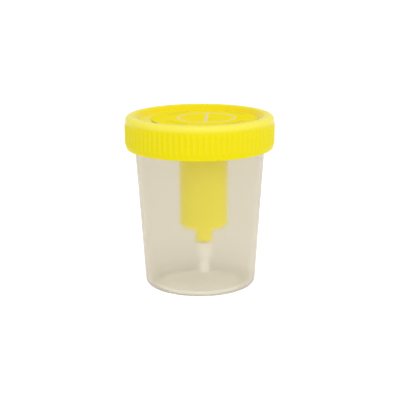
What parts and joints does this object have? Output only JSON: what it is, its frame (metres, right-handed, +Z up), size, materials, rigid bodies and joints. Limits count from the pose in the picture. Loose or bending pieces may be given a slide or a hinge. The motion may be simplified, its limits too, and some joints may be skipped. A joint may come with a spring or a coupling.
{
  "type": "specimen cup",
  "caption": "Translucent tapered specimen cup with a ribbed quick-turn lid, a built-in vacuum tube transfer well, needle, straw and peel-back label.",
  "frame": {"origin": "middle of the face the cup stands on", "axes": "+Z up along the cup's axis; +X towards the side that the tube well and the label are offset to, where the label stays stuck"},
  "size_m": [0.066, 0.066, 0.0763],
  "materials": {
    "cup_polypropylene": "translucent natural polypropylene, finely matt outside",
    "lid_polyethylene": "satin yellow moulded polyethylene",
    "well_polyethylene": "satin yellow moulded polyethylene",
    "seal_elastomer": "matt off-white",
    "hub_polypropylene": "matt white",
    "needle_steel": "drawn stainless tube",
    "sleeve_rubber": "matt grey, powdery",
    "straw_polyethylene": "natural, slightly cloudy",
    "label_film": "yellow coated film with a pale printed mark"
  },
  "bodies": {
    "cup": {"cup_body": "cup_polypropylene"},
    "seal": {"lid_seal": "seal_elastomer"},
    "lid": {"screw_lid": "lid_polyethylene", "tube_well": "well_polyethylene", "needle_hub": "hub_polypropylene", "cannula": "needle_steel", "needle_sleeve": "sleeve_rubber", "straw_socket": "straw_polyethylene", "suction_straw": "straw_polyethylene", "label_anchor": "label_film"},
    "sleeve": {"sleeve_tip": "sleeve_rubber"},
    "label": {"label_flap": "label_film"}
  },
  "joints": [
    {"name": "lid_lift", "type": "slide", "parent": "cup", "child": "seal", "axis": [0, 0, 1], "range_m": [0, 0.085]},
    {"name": "lid_turn", "type": "hinge", "parent": "seal", "child": "lid", "pos_m": [0, 0, 0.0742], "axis": [0, 0, 1], "range_deg": [0, 64]},
    {"name": "label_peel", "type": "hinge", "parent": "lid", "child": "label", "pos_m": [0.0154, 0, 0.0748], "axis": [0, 1, 0], "range_deg": [0, 150]},
    {"name": "sleeve_press", "type": "slide", "parent": "lid", "child": "sleeve", "axis": [0, 0, -1], "range_m": [0, 0.0105], "stiffness_N_per_m": 250, "deforming": ["needle_sleeve"]}
  ]
}
